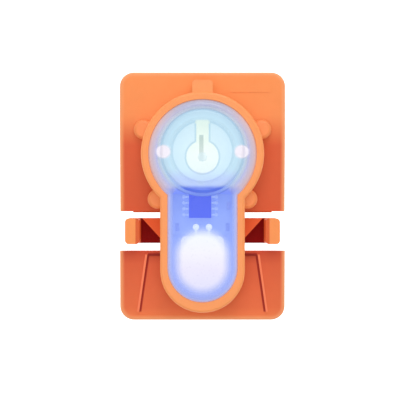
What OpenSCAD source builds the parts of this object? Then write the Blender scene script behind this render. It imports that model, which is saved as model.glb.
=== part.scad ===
// Clip-on LED marker light.
// It lies on its back: X across, Y towards the top edge, Z out through the lens.
// The origin is the middle of the plate's outline, on the surface that the clip arm rests on.

/* [Plate] */
// Width of the plate
plate_w = 35.6; // [34.4:0.2:36]
// Height of the plate, from the lower edge to the top edge
plate_h = 53.4; // [52.6:0.2:54]
// Thickness of the plate along its top
plate_t = 3.6; // [3.4:0.1:3.8]
// Thickness of the plates at their lower edges
thin_t = 1.1; // [1:0.1:1.4]
// Thickness of the lower plate at its top edge
step_t = 2.5; // [2.2:0.1:2.6]
// Radius of the plate's corners
corner_r = 3; // [2:0.5:4]
// Lower edge of the upper plate
gap_top_y = -3.2; // [-3.4:0.1:-3]
// Top edge of the lower plate
gap_low_y = -11.7; // [-12:0.1:-11.4]

/* [Lamp housing] */
// Outer radius of the round head
ring_r = 13.1; // [13.1:0.1:13.4]
// Outer half width of the straight tail
tail_r = 9; // [9:0.1:9.2]
// Height of the bezel above the plate's top
bezel_h = 4.5; // [4.5:0.1:5]
// Width of the locating tab above the head
tab_w = 4.4; // [3.5:0.1:5]
// Radius of each screw boss beside the head
boss_r = 2.1; // [2:0.1:2.2]
// Radius of the push button
button_r = 8.75; // [8.6:0.05:8.75]
// Travel of the push button
button_travel = 0.5; // [0.4:0.05:0.5]

/* [Battery] */
// Diameter of the coin cell
cell_d = 16; // [15.9:0.05:16]
// Thickness of the coin cell
cell_t = 3.2; // [3:0.1:3.2]
// Radius of the battery door's flange
door_r = 9.4; // [9.3:0.05:9.4]

/* [Clip arm] */
// Half width of the arm's spine
spine_r = 8.6; // [8:0.1:8.8]
// Thickness of the arm's spine
spine_t = 2; // [1.8:0.1:2]
// Thickness of the strap that the clip takes
strap_gap = 4.4; // [4.4:0.1:4.8]
// Half width of the cross bar
bar_r = 16.6; // [16:0.1:16.8]
// Height of the end blocks above the resting surface
post_h = 11.5; // [11:0.5:12]
// Radius of the hinge knuckles
knuckle_r = 2.2; // [2.1:0.05:2.2]

/* [Hidden] */
$fn = 96;
eps = 0.01;

// levels, from the resting surface up
hub_z = spine_t + strap_gap;
plate_z = hub_z + plate_t;
floor_t = 1;
tail_floor_z = hub_z + floor_t;
head_floor_z = hub_z + 1.6;
rim_z = hub_z + 4.6;
seal_t = 0.5;
lens_z = rim_z + seal_t;
flange_t = 0.8;
bezel_z = plate_z + bezel_h;
lip_z = lens_z + flange_t + 0.1;
lens_top_z = bezel_z + 0.7;
lens_wall = 1.1;
lens_roof_z = lens_top_z - lens_wall;

// centres, up the plate
head_y = 9.15;
tail_y = -15.7;
inner_tail_y = -15.1;
cell_y = 9.65;

// radii of the nested outlines in the head; each outline's tail is `waist` narrower
waist = ring_r - tail_r;
cavity_r = ring_r - 1.8;
rim_r = ring_r - 0.9;
bezel_inner_r = ring_r - 0.8;
lip_r = ring_r - 1.55;
lens_r = lip_r - 0.1;

// battery compartment
cell_z = hub_z + 1.7;
cell_r = cell_d / 2;
can_step = 0.4;
cup_in_r = cell_r + 0.15;
cup_out_r = cup_in_r + 0.65;
cup_z = hub_z + 1.55;
cup_top_z = cell_z + 4.1;
shelf_r = cup_out_r + 1;
shelf_t = 0.5;
neck_r = 8.75;
lug_r = door_r - 0.1;
lug_count = 3;
lug_angle = 20;
door_seat_r = door_r + 0.2;
door_seal_r = door_r - 0.08;
door_hole_r = neck_r + 0.15;
door_flange_z = hub_z + 0.05;
door_neck_z = hub_z + 0.75;
door_ledge_z = hub_z + 1.05;
door_disc_z = hub_z + 1.1;
door_top_z = hub_z + 1.4;

// switch
leaf_y = 8.45;
leaf_r = 3.45;
leaf_stem = 1.32;
leaf_root_y = 16.4;
leaf_z = cell_z + cell_t + 0.75;
leaf_t = 0.2;
pad_z = cell_z + cell_t + 0.05;
pad_t = 0.45;
pad_r = 6.35;
button_z = lens_roof_z - 1;
button_top_z = lens_top_z + 0.3;
button_flange_r = button_r + 0.9;
button_flange_t = 0.4;
hole_clear = 0.2;
return_r = 9.25;
return_w = 0.35;

clip_r = 1.4;

// board and lamp
board_r = 6.8;
board_top_y = 0.5;
board_end_y = -8.1;
board_z = tail_floor_z + 0.65;
board_t = 0.8;
board_face_z = board_z + board_t;
tray_floor_t = 0.38;
chip_x = -0.5;
chip_y = -2;
chip_w = 4.8;
chip_h = 5.2;
chip_t = 1.7;
lead_pitch = 1.27;
lead_count = 4;
led_z = hub_z + 4.5;
led_y = -8.7;
led_r = 2.5;
led_flange_r = 2.9;
led_straight = 6.1;
led_lead_x = 1.4;
solder_y = -6.6;
diffuser_r = 4.6;
diffuser_top_y = -8.5;
diffuser_end_y = -14.8;

// hinge and arm
hinge_y = 23.9;
hinge_z = knuckle_r + 0.1;
pin_r = 0.8;
hub_knuckle_in = 10.3;
hub_knuckle_out = 13;
arm_knuckle = 4.8;
bar_top_y = -4.7;
bar_low_y = -10.2;
bar_floor_t = 1.8;
post_w = 3.1;
stop_wide = 13.1;
stop_narrow = 9;
stop_low_y = -9.2;
tab_end_y = -23.6;

// torsion springs on the hinge pin
wire_r = 0.2;
coil_r = 1.45;
coil_turns = 7;
coil_in = 5.2;
coil_out = 9.9;
coil_steps = 16;
arm_tang = 0.8;
hub_tang = 1.3;
wire_sides = 8;

// bezel screws: the bosses' angles round the head, and their distance from its centre
boss_angles = [22.5, 157.5, 225, 315];
boss_pitch_r = 13.7;
boss_top_z = plate_z + 1.6;
screw_head_r = 1.5;
screw_head_t = 0.9;
screw_r = 0.8;
screw_bite = 1.1;

// the front of the upper plate bends here and falls back towards its lower edge
bend_y = 14.6;
bend_w = 4.4;
bend_steps = 8;

// A box between two corners
module box(low, high) {
    translate(low) cube(high - low);
}

// A flat outline with rounded corners between two corners
module rounded_2d(low, high, r) {
    translate([low[0] + r, low[1]]) square([high[0] - low[0] - 2 * r, high[1] - low[1]]);
    translate([low[0], low[1] + r]) square([high[0] - low[0], high[1] - low[1] - 2 * r]);
    for (x = [low[0] + r, high[0] - r], y = [low[1] + r, high[1] - r])
        translate([x, y]) circle(r);
}

// The keyhole outline: a round head of radius r with a straight, round-ended tail below it
module keyhole_2d(r, end_y = inner_tail_y) {
    w = r - waist;
    translate([0, head_y]) circle(r);
    translate([-w, end_y]) square([2 * w, head_y - end_y]);
    translate([0, end_y]) circle(w);
}

// A keyhole prism from z0 to z1
module keyhole(r, z0, z1, end_y = inner_tail_y) {
    translate([0, 0, z0]) linear_extrude(z1 - z0) keyhole_2d(r, end_y);
}

// Half of a section with a rounded shoulder
module shoulder_2d(r, z0, z1, edge) {
    translate([0, z0]) square([r - edge, z1 - z0]);
    translate([0, z0]) square([r, z1 - z0 - edge]);
    translate([r - edge, z1 - edge]) circle(edge);
}

// A keyhole solid whose top edge is rounded
module keyhole_dome(r, z0, z1, edge, end_y = inner_tail_y) {
    w = r - waist;
    translate([0, head_y, 0]) rotate_extrude() shoulder_2d(r, z0, z1, edge);
    translate([0, end_y, 0]) rotate_extrude() shoulder_2d(w, z0, z1, edge);
    translate([0, head_y, 0]) rotate([90, 0, 0]) linear_extrude(head_y - end_y) {
        shoulder_2d(w, z0, z1, edge);
        mirror([1, 0]) shoulder_2d(w, z0, z1, edge);
    }
}

// Puts its children at each screw boss
module at_bosses() {
    for (a = boss_angles)
        translate([boss_pitch_r * cos(a), head_y + boss_pitch_r * sin(a), 0]) children();
}

// Puts its children at both sides
module both_sides() {
    children();
    mirror([1, 0, 0]) children();
}

// A cylinder along X between two ends
module rod_x(x0, x1, r) {
    translate([x0, 0, 0]) rotate([0, 90, 0]) cylinder(h = x1 - x0, r = r);
}

// A ring about Z
module ring(r_out, r_in, z0, z1) {
    translate([0, 0, z0]) difference() {
        cylinder(h = z1 - z0, r = r_out);
        translate([0, 0, -eps]) cylinder(h = z1 - z0 + 2 * eps, r = r_in);
    }
}

// A round ring of wire or rubber about Z
module torus(big_r, small_r, z) {
    translate([0, 0, z]) rotate_extrude() translate([big_r, 0]) circle(small_r);
}

// A sector of a ring about Z, centred on angle a
module ring_sector(r_out, r_in, z0, z1, a, sweep) {
    rotate([0, 0, a - sweep / 2]) rotate_extrude(angle = sweep)
        translate([r_in, z0]) square([r_out - r_in, z1 - z0]);
}

// ---- casing ----

// The plate's outline: an upper and a lower plate, joined behind the lamp's tail
module plate_2d() {
    difference() {
        rounded_2d([-plate_w / 2, -plate_h / 2], [plate_w / 2, plate_h / 2], corner_r);
        both_sides() translate([tail_r, gap_low_y]) square([plate_w, gap_top_y - gap_low_y]);
    }
}

// Level of the upper plate's front at y: flat, then a soft bend, then a slope down to the lower edge
function upper_front(y) =
    let (fall = (plate_t - thin_t) / (bend_y - gap_top_y),
         into = min(max(bend_y + bend_w / 2 - y, 0), bend_w),
         past = max(bend_y - bend_w / 2 - y, 0))
    plate_z - fall * (into * into / (2 * bend_w) + past);

// The side view of the two plates, with Y to the right and Z up
module side_2d() {
    top_y = plate_h / 2;
    polygon(concat(
        [[gap_top_y - 1, hub_z], [top_y, hub_z], [top_y, plate_z]],
        [for (i = [0:bend_steps])
            let (y = bend_y + bend_w / 2 - i * bend_w / bend_steps) [y, upper_front(y)]],
        [[gap_top_y, hub_z + thin_t], [gap_top_y - 1, hub_z + thin_t]]
    ));
    polygon([
        [-top_y, hub_z], [gap_top_y, hub_z], [gap_top_y, hub_z + thin_t],
        [gap_low_y, hub_z + step_t], [-top_y, hub_z + thin_t]
    ]);
}

// The ramp let into the lower plate on both sides of the tail
module thumb_ramp() {
    depth = 1;
    fall = 1.6;
    y_top = gap_low_y - 0.7;
    y_low = -plate_h / 2 + 1.4;
    translate([0, y_top, hub_z + step_t - depth]) rotate([fall, 0, 0]) translate([0, -y_top, 0])
        linear_extrude(3 * depth)
            polygon([[-12, y_top], [12, y_top], [13.8, y_low], [-13.8, y_low]]);
}

// A low bead along each side of the ramp
module ramp_beads() {
    proud = 0.25;
    root = 0.9;
    y_top = gap_low_y - 0.7;
    y_low = -plate_h / 2 + 1.4;
    slope = atan((step_t - thin_t) / (gap_low_y + plate_h / 2));
    translate([0, gap_low_y, hub_z + step_t]) rotate([slope, 0, 0]) translate([0, -gap_low_y, -root])
        linear_extrude(root + proud) both_sides()
            polygon([[11.85, y_top], [12.4, y_top], [14.2, y_low], [13.65, y_low]]);
}

// The battery door's seat, ledge and bayonet groove
module door_opening() {
    translate([0, cell_y, 0]) {
        translate([0, 0, hub_z - eps]) cylinder(h = door_neck_z - hub_z + 0.05 + eps, r = door_seat_r);
        translate([0, 0, hub_z]) cylinder(h = plate_t, r = door_hole_r);
        translate([0, 0, door_ledge_z]) cylinder(h = 0.4, r = lug_r + 0.1);
        for (i = [0:lug_count - 1])
            ring_sector(lug_r + 0.15, door_hole_r - 0.1, door_neck_z, door_ledge_z + 0.1,
                90 + 75 + i * 360 / lug_count, lug_angle + 4);
    }
}

module hub_plate() {
    color("orangered") difference() {
        union() {
            difference() {
                intersection() {
                    translate([0, 0, hub_z]) linear_extrude(plate_t) plate_2d();
                    rotate([90, 0, 90]) translate([0, 0, -plate_w])
                        linear_extrude(2 * plate_w) side_2d();
                }
                thumb_ramp();
            }
            ramp_beads();
            keyhole(ring_r, hub_z, plate_z, tail_y);
            keyhole(rim_r, hub_z, rim_z);
            at_bosses() translate([0, 0, hub_z]) cylinder(h = plate_t, r = boss_r);
            both_sides() translate([tail_r - 1, gap_top_y - 0.25, hub_z]) cube([7, 1, 0.7]);
            translate([0, 0, plate_z - 0.1]) linear_extrude(0.25)
                rounded_2d([5.8, 22.4], [14.6, 24.7], 0.4);
            both_sides() translate([0, hinge_y, hinge_z]) {
                rod_x(hub_knuckle_in, hub_knuckle_out, knuckle_r);
                box([hub_knuckle_in, -knuckle_r, 0], [hub_knuckle_out, knuckle_r, hub_z - hinge_z + 0.5]);
            }
        }
        keyhole(cavity_r, head_floor_z, rim_z + 1);
        translate([0, 0, tail_floor_z]) linear_extrude(9) intersection() {
            keyhole_2d(cavity_r);
            translate([-tail_r, -plate_h / 2]) square([2 * tail_r, plate_h / 2 - 0.3]);
        }
        box([-1.6, -0.5, tail_floor_z + 0.3], [1.6, 1.2, plate_z + 1]);
        door_opening();
        at_bosses() {
            translate([0, 0, hub_z - eps]) cylinder(h = screw_head_t + 0.1, r = screw_head_r + 0.1);
            translate([0, 0, hub_z]) cylinder(h = plate_t + 1, r = screw_r + 0.05);
        }
        both_sides() translate([0, hinge_y, hinge_z]) {
            rod_x(hub_knuckle_in - 1, hub_knuckle_out + 1, pin_r + 0.02);
            translate([0, 0, -coil_r]) rod_x(hub_knuckle_in - 1, hub_knuckle_in + 1.1, wire_r + 0.05);
        }
    }
}

module bezel_frame() {
    color("orange") difference() {
        union() {
            keyhole_dome(ring_r, plate_z, bezel_z, 0.6, tail_y);
            translate([0, 0, plate_z]) linear_extrude(bezel_h - 0.5)
                rounded_2d([-tab_w / 2, head_y + ring_r - 2], [tab_w / 2, head_y + ring_r + 2.55], 0.8);
            at_bosses() rotate_extrude() intersection() {
                shoulder_2d(boss_r, plate_z, boss_top_z, 0.8);
                translate([0, plate_z]) square([boss_r, 3]);
            }
        }
        keyhole(bezel_inner_r, plate_z - 1, lip_z);
        keyhole(lip_r, plate_z, bezel_z + 1);
        at_bosses() translate([0, 0, plate_z - eps]) cylinder(h = screw_bite, r = screw_r);
    }
}

module bezel_screws() {
    color("silver") at_bosses() translate([0, 0, hub_z + 0.05]) difference() {
        union() {
            cylinder(h = screw_head_t, r = screw_head_r);
            cylinder(h = plate_t + screw_bite - 0.15, r = screw_r);
        }
        for (a = [0, 90])
            rotate([0, 0, a]) box([-0.9, -0.2, -1], [0.9, 0.2, 0.5]);
    }
}

// ---- lens and button ----

module lens_cover() {
    color("lightblue", 0.4) difference() {
        union() {
            keyhole_dome(lens_r, lens_z, lens_top_z, 1.4);
            keyhole(rim_r - 0.1, lens_z, lens_z + flange_t);
        }
        keyhole_dome(lens_r - 1, lens_z - 1, lens_roof_z, 0.8);
        translate([0, cell_y, lens_z]) cylinder(h = 9, r = button_r + hole_clear);
    }
}

module lens_seal() {
    color("dimgray") difference() {
        keyhole(rim_r, rim_z, lens_z);
        keyhole(cavity_r, rim_z - 1, lens_z + 1);
    }
}

module button_cap() {
    color("paleturquoise", 0.5) {
        translate([0, cell_y, 0]) {
            rotate_extrude() shoulder_2d(button_r, button_z, button_top_z, 0.5);
            translate([0, 0, button_z]) cylinder(h = button_flange_t, r = button_flange_r);
        }
        translate([0, leaf_y, leaf_z + leaf_t + 0.1]) cylinder(h = button_z - leaf_z - leaf_t, r = 1);
    }
}

module button_seal() {
    color("dimgray") translate([0, cell_y, 0])
        torus(button_r + 0.5, 0.25, button_z + button_flange_t + 0.25);
}

// Wave spring: three flat rings joined crest to crest
module return_spring() {
    low = cup_top_z;
    high = button_z;
    leaf = 0.15;
    crests = 3;
    color("silver") translate([0, cell_y, 0]) {
        for (z = [low, (low + high - leaf) / 2, high - leaf])
            ring(return_r + return_w, return_r - return_w, z, z + leaf);
        for (i = [0:crests - 1], half = [0, 1])
            translate([0, 0, half * (high - low) / 2])
                ring_sector(return_r + return_w - 0.1, return_r - return_w + 0.1,
                    low + leaf / 2, (low + high - leaf) / 2, (i + half / 2) * 360 / crests + 40, 12);
    }
}

// ---- switch and battery ----

module contact_leaf() {
    color("khaki") translate([0, 0, leaf_z]) linear_extrude(leaf_t) difference() {
        union() {
            translate([0, leaf_y]) circle(leaf_r);
            translate([-leaf_stem, leaf_y]) square([2 * leaf_stem, leaf_root_y - leaf_y]);
        }
        translate([-0.7, leaf_y - 0.9]) square([0.9, 5.6]);
    }
}

// The leaf's foot, clamped on the tray's shelf
module leaf_terminal() {
    color("khaki") {
        box([-1.6, 15.6, leaf_z - 0.25], [1.6, 19.2, leaf_z - 0.05]);
        box([-1.1, 18.7, leaf_z - 1.3], [1.1, 19, leaf_z - 0.1]);
    }
}

// Insulating pad on the cell, with a window for the leaf
module contact_pad() {
    color("aliceblue") translate([0, 0, pad_z]) linear_extrude(pad_t) difference() {
        translate([0, cell_y]) circle(pad_r);
        translate([0, leaf_y]) circle(leaf_r + 0.4);
        translate([-leaf_stem - 0.4, leaf_y]) square([2 * leaf_stem + 0.8, 9]);
    }
}

// Insulated wire from the leaf's foot round the cup to the board
module supply_wire() {
    r = 9.35;
    z = hub_z + 3;
    wire = 0.25;
    end_a = -62;
    color("red") translate([0, cell_y, 0]) {
        rotate([0, 0, end_a]) rotate_extrude(angle = 90 - end_a) translate([r, z]) circle(wire);
        rotate([0, 0, end_a]) translate([r, 0, z]) rotate([90, 0, 0]) cylinder(h = 1.4, r = wire);
    }
}

// Spring tabs that hold the cell down in its cup
module cell_clips() {
    color("white") both_sides() translate([0, cell_y, 0]) {
        box([6.9, -clip_r, pad_z], [9.7, clip_r, pad_z + 0.3]);
        box([cup_out_r + 0.05, -1.1, cup_z + 1], [9.05, 1.1, pad_z + 0.2]);
    }
}

module coin_cell() {
    color("gainsboro") translate([0, cell_y, cell_z]) {
        translate([0, 0, can_step]) rotate_extrude() shoulder_2d(cell_r, 0, cell_t - can_step, 0.4);
        cylinder(h = 2 * can_step, r = cell_r - 1.2);
    }
}

// Strip from the board to the rim of the door's contact
module ground_strip() {
    z = tail_floor_z + 0.52;
    color("gold") {
        box([-1.2, -2.5, z], [1.2, 3.2, z + 0.1]);
        box([-0.5, 2.6, door_disc_z + 0.16], [0.5, 3.2, z + 0.05]);
    }
}

// Moulded tray: the cell's cup, the shelf for the return spring, and the bed of the tail
module lamp_tray() {
    bed_r = cavity_r - waist - 0.15;
    rail_z = board_face_z + 0.2;
    color("white") difference() {
        union() {
            translate([0, cell_y, 0]) {
                ring(cup_out_r, cup_in_r, cup_z, cup_top_z);
                ring(shelf_r, cup_in_r, cup_top_z - shelf_t, cup_top_z);
            }
            translate([0, 0, tail_floor_z + 0.02]) linear_extrude(tray_floor_t) difference() {
                keyhole_2d(bed_r + waist);
                translate([-ring_r, -0.45]) square([2 * ring_r, ring_r * 2]);
            }
            both_sides() box([board_r + 0.03, -15, tail_floor_z + 0.02], [bed_r, -0.45, rail_z]);
            both_sides() box([6.2, -1.8, head_floor_z + 0.05], [bed_r, 4.6, rail_z]);
        }
        box([-board_r - 0.02, board_end_y - 0.05, board_z - 0.02], [board_r + 0.02, board_top_y + 0.05, 12]);
        translate([0, cell_y, 0]) both_sides()
            box([6, -clip_r - 0.2, pad_z - 0.1], [12, clip_r + 0.2, 13]);
        box([-1.7, 15, leaf_z - 0.4], [1.7, 20, leaf_z + 2]);
        box([-1.4, -1, cup_z - 1], [1.4, 3, cup_z + 0.2]);
        box([-3.4, -1, cup_top_z - shelf_t - 0.1], [3.4, 1.4, cup_top_z + 1]);
    }
}

// ---- electronics ----

module circuit_board() {
    color("royalblue") difference() {
        box([-board_r, board_end_y, board_z], [board_r, board_top_y, board_face_z]);
        for (x = [-led_lead_x, led_lead_x])
            translate([x, solder_y, board_z - 1]) cylinder(h = 3, r = 0.3);
    }
}

module driver_chip() {
    color("mediumblue") translate([chip_x, chip_y, board_face_z + 0.1]) difference() {
        box([-chip_w / 2, -chip_h / 2, 0], [chip_w / 2, chip_h / 2, chip_t]);
        translate([-chip_w / 2 + 0.8, chip_h / 2 - 0.8, chip_t - 0.1]) cylinder(h = 1, r = 0.35);
    }
}

module chip_leads() {
    inner = chip_w / 2;
    color("silver") for (i = [0:lead_count - 1])
        translate([chip_x, chip_y + (i - (lead_count - 1) / 2) * lead_pitch, board_face_z]) both_sides() {
            box([inner, -0.2, 0.85], [inner + 0.6, 0.2, 1.05]);
            box([inner + 0.4, -0.2, 0], [inner + 0.6, 0.2, 1.05]);
            box([inner + 0.4, -0.2, 0], [inner + 1.5, 0.2, 0.2]);
        }
}

// A small chip component with capped ends
module chip_part(x, y) {
    translate([x, y, board_face_z]) {
        box([-0.4, -0.55, 0.02], [0.4, 0.55, 0.4]);
        for (end = [-1, 1])
            translate([0, end * 0.7, 0]) box([-0.42, -0.16, 0], [0.42, 0.16, 0.44]);
    }
}

module resistors() {
    color("midnightblue") for (x = [-5.4, 5.4])
        chip_part(x, solder_y);
}

module capacitor() {
    color("tan") chip_part(5.6, chip_y);
}

module led_body() {
    color("white", 0.8) translate([0, led_y, led_z]) rotate([90, 0, 0]) {
        cylinder(h = 1, r = led_flange_r);
        cylinder(h = led_straight, r = led_r);
        translate([0, 0, led_straight]) sphere(led_r);
    }
}

// Two legs bent down to the board, each with its solder joint
module led_leads() {
    leg = 0.25;
    color("silver") for (x = [-led_lead_x, led_lead_x]) {
        box([x - leg, led_y, led_z - leg], [x + leg, solder_y + leg, led_z + leg]);
        box([x - leg, solder_y - leg, board_face_z], [x + leg, solder_y + leg, led_z + leg]);
        translate([x, solder_y, board_face_z]) cylinder(h = 0.7, r1 = 0.7, r2 = 0.3);
    }
}

// Frosted cap that the lamp pushes into
module led_diffuser() {
    low = tail_floor_z + 0.5;
    high = lens_roof_z - 0.2;
    color("white", 0.6) difference() {
        translate([0, 0, low]) linear_extrude(high - low) {
            translate([0, diffuser_end_y]) circle(diffuser_r);
            rounded_2d([-diffuser_r, diffuser_end_y - 1.5], [diffuser_r, diffuser_top_y], 1.2);
        }
        translate([0, led_y + 1, led_z]) rotate([90, 0, 0]) {
            cylinder(h = 2.1, r = led_flange_r + 0.05);
            cylinder(h = led_straight + 1, r = led_r + 0.05);
            translate([0, 0, led_straight + 1]) sphere(led_r + 0.05);
        }
    }
}

// ---- battery door ----

module battery_door() {
    color("orangered") translate([0, cell_y, 0]) difference() {
        union() {
            translate([0, 0, door_flange_z]) cylinder(h = door_neck_z - door_flange_z, r = door_r);
            translate([0, 0, door_neck_z - eps]) cylinder(h = door_top_z - door_neck_z, r = neck_r);
            for (i = [0:lug_count - 1])
                ring_sector(lug_r, neck_r - 0.5, door_ledge_z + 0.05, door_top_z,
                    90 + i * 360 / lug_count, lug_angle);
        }
        translate([0, 0, door_disc_z]) cylinder(h = 1, r = neck_r - 0.9);
        torus(door_seal_r, 0.27, (door_flange_z + door_neck_z) / 2);
        box([-6, -0.85, hub_z - 1], [6, 0.85, door_flange_z + 0.5]);
        box([-1.4, -neck_r - 1, door_disc_z + 0.1], [1.4, -6, door_top_z + 1]);
    }
}

module door_seal() {
    color("dimgray") translate([0, cell_y, 0])
        torus(door_seal_r, 0.25, (door_flange_z + door_neck_z) / 2);
}

// Sprung disc on the door, with dimples that meet the cell
module door_contact() {
    color("gold") translate([0, cell_y, door_disc_z]) {
        cylinder(h = 0.15, r = neck_r - 1);
        for (a = [30:120:270])
            rotate([0, 0, a]) translate([4, 0, 0]) cylinder(h = cell_z - door_disc_z, r1 = 1, r2 = 0.4);
    }
}

// ---- webbing clip ----

// The arm's outline on the resting surface
module arm_2d() {
    rounded_2d([-spine_r, tab_end_y], [spine_r, 21.5], 3);
    translate([-spine_r, 10]) square([2 * spine_r, 11.5]);
    translate([-arm_knuckle, 19]) square([2 * arm_knuckle, hinge_y - 19]);
}

// One end block of the cross bar, on the right
module end_post_2d() {
    rounded_2d([bar_r - post_w, bar_low_y], [bar_r, bar_top_y], 0.8);
}

module clip_arm() {
    color("orangered") difference() {
        union() {
            linear_extrude(spine_t) arm_2d();
            linear_extrude(bar_floor_t) rounded_2d([-bar_r, bar_low_y], [bar_r, bar_top_y], 0.8);
            both_sides() linear_extrude(post_h) end_post_2d();
            linear_extrude(hub_z - 0.2) polygon([
                [-stop_wide, bar_top_y], [stop_wide, bar_top_y],
                [stop_narrow, stop_low_y], [-stop_narrow, stop_low_y]
            ]);
            translate([0, hinge_y, hinge_z]) rod_x(-arm_knuckle, arm_knuckle, knuckle_r);
            box([-spine_r + 2, tab_end_y, 0], [spine_r - 2, tab_end_y + 1.2, spine_t + 1.2]);
        }
        translate([0, hinge_y, hinge_z]) {
            rod_x(-arm_knuckle - 1, arm_knuckle + 1, pin_r + 0.06);
            both_sides() translate([arm_knuckle - 1.1, 0, 0]) rotate([0, 90, 0])
                ring(coil_r + 0.35, coil_r - 0.35, 0, 2);
        }
        for (y = [-21:2:-13])
            translate([0, y, 0]) rotate([0, 90, 0]) cylinder(h = 12, r = 0.4, center = true);
    }
}

module hinge_pin() {
    color("silver") translate([0, hinge_y, hinge_z]) rod_x(-hub_knuckle_out, hub_knuckle_out, pin_r);
}

// A point on the wire's skin: t counts steps along the helix, which runs along X, and s counts sides.
// The steps before the first and after the last are the ends of the two tangs.
function coil_point(t, s) =
    let (last = coil_steps * coil_turns,
         step = min(max(t, 0), last),
         turn = 360 * step / coil_steps - 90,
         along = t < 0 ? coil_in - arm_tang
             : t > last ? coil_out + hub_tang
             : coil_in + (coil_out - coil_in) * t / last,
         out = coil_r + wire_r * cos(360 * s / wire_sides),
         side = wire_r * sin(360 * s / wire_sides),
         on_helix = t >= 0 && t <= last ? side : 0,
         on_tang = t <= 0 || t >= last ? side : 0)
    [
        along + on_helix,
        out * cos(turn) + on_tang * sin(turn),
        out * sin(turn) - on_tang * cos(turn)
    ];

// One spring's wire, as a skin of triangles between its rings
module coil() {
    n = wire_sides;
    rings = coil_steps * coil_turns + 3;
    polyhedron(
        points = [for (t = [0:rings - 1], s = [0:n - 1]) coil_point(t - 1, s)],
        faces = concat(
            [[for (s = [0:n - 1]) s]],
            [for (t = [0:rings - 2], s = [0:n - 1])
                [t * n + s, (t + 1) * n + s, (t + 1) * n + (s + 1) % n]],
            [for (t = [0:rings - 2], s = [0:n - 1])
                [t * n + s, (t + 1) * n + (s + 1) % n, t * n + (s + 1) % n]],
            [[for (s = [n - 1:-1:0]) (rings - 1) * n + s]]
        )
    );
}

// Two torsion springs; each has a tang in the hub's knuckle and one in the arm's ring groove
module hinge_springs() {
    color("silver") translate([0, hinge_y, hinge_z]) both_sides() coil();
}

hub_plate();
bezel_frame();
bezel_screws();
lens_cover();
lens_seal();
button_cap();
button_seal();
return_spring();
contact_leaf();
leaf_terminal();
contact_pad();
supply_wire();
cell_clips();
coin_cell();
ground_strip();
lamp_tray();
circuit_board();
driver_chip();
chip_leads();
resistors();
capacitor();
led_body();
led_leads();
led_diffuser();
battery_door();
door_seal();
door_contact();
clip_arm();
hinge_pin();
hinge_springs();
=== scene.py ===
"""Looks of the clip-on marker light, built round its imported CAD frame."""

import logging
import math
from collections.abc import Callable, Iterable, Sequence
from dataclasses import dataclass, field
from enum import Enum

import bmesh
import bpy
from mathutils import Matrix, Vector


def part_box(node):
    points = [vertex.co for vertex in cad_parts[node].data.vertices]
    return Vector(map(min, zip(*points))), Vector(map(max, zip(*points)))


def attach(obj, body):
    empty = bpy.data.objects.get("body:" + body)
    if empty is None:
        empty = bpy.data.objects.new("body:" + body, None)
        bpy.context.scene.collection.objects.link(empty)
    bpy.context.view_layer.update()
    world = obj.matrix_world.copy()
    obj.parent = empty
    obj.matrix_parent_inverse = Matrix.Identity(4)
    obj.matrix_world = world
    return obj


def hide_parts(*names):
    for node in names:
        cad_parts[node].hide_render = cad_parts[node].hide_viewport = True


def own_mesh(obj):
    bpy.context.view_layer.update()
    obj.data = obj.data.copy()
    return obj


MM = 0.001
# vertices this close are one, in a copy of a CAD mesh and in a finished piece
MERGE = 0.002 * MM
WELD = 0.0005 * MM
# faces that turn by less than this are one flat face
FLAT = math.radians(0.4)
# an edge that climbs by less than this lies level
LEVEL = 0.001 * MM
# how far off a line, in millimetres, still counts as on it
TOUCH = 0.02
# a moulded or cut edge turns by more than this many degrees
SHARP = 60.0
LOG = logging.getLogger("marker_light")

Tone = tuple[int, int, int]
Span = tuple[float, float]
Band = tuple[Span, Span]
Outline = Sequence[Span]
Stops = tuple[tuple[float, Tone], ...]
Socket = bpy.types.NodeSocket
Value = Socket | float
Colour = Socket | tuple[float, ...]
Mesh = bmesh.types.BMesh
Vert = bmesh.types.BMVert
Edge = bmesh.types.BMEdge
Face = bmesh.types.BMFace
Piece = bpy.types.Object
Picker = Callable[[Edge], bool]
Rounding = tuple[Picker, float, int]

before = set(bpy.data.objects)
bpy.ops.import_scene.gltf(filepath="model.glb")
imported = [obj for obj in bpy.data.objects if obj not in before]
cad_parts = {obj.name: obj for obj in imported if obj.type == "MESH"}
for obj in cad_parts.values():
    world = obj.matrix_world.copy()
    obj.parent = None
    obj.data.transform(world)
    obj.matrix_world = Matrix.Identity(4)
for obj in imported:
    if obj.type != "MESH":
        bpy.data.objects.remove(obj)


class Along(Enum):
    """An axis of the part that a tone runs along."""

    X = 0
    Y = 1
    Z = 2


class Body(Enum):
    """A moving body of the part."""

    HUB = "hub"
    ARM = "arm"
    BUTTON = "button"
    LEAF = "leaf"
    DOOR = "door"


# ---- materials ----


def linear(tone: Tone, gain: float = 1.0) -> tuple[float, float, float, float]:
    """A display tone as linear light.

    Args:
        tone: red, green and blue from 0 to 255.
        gain: factor on the light.

    Returns:
        Red, green, blue and an alpha of 1.
    """
    parts = [c / 255 for c in tone]
    light = [c / 12.92 if c <= 0.04045 else ((c + 0.055) / 1.055) ** 2.4 for c in parts]
    return (light[0] * gain, light[1] * gain, light[2] * gain, 1.0)


@dataclass(frozen=True)
class Keyhole:
    """A round head with a straight, round-ended tail below it, in millimetres."""

    head_y: float
    head_r: float
    tail_y: float
    tail_r: float


LENS_OUTLINE = Keyhole(head_y=9.15, head_r=11.45, tail_y=-15.1, tail_r=7.35)


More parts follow.
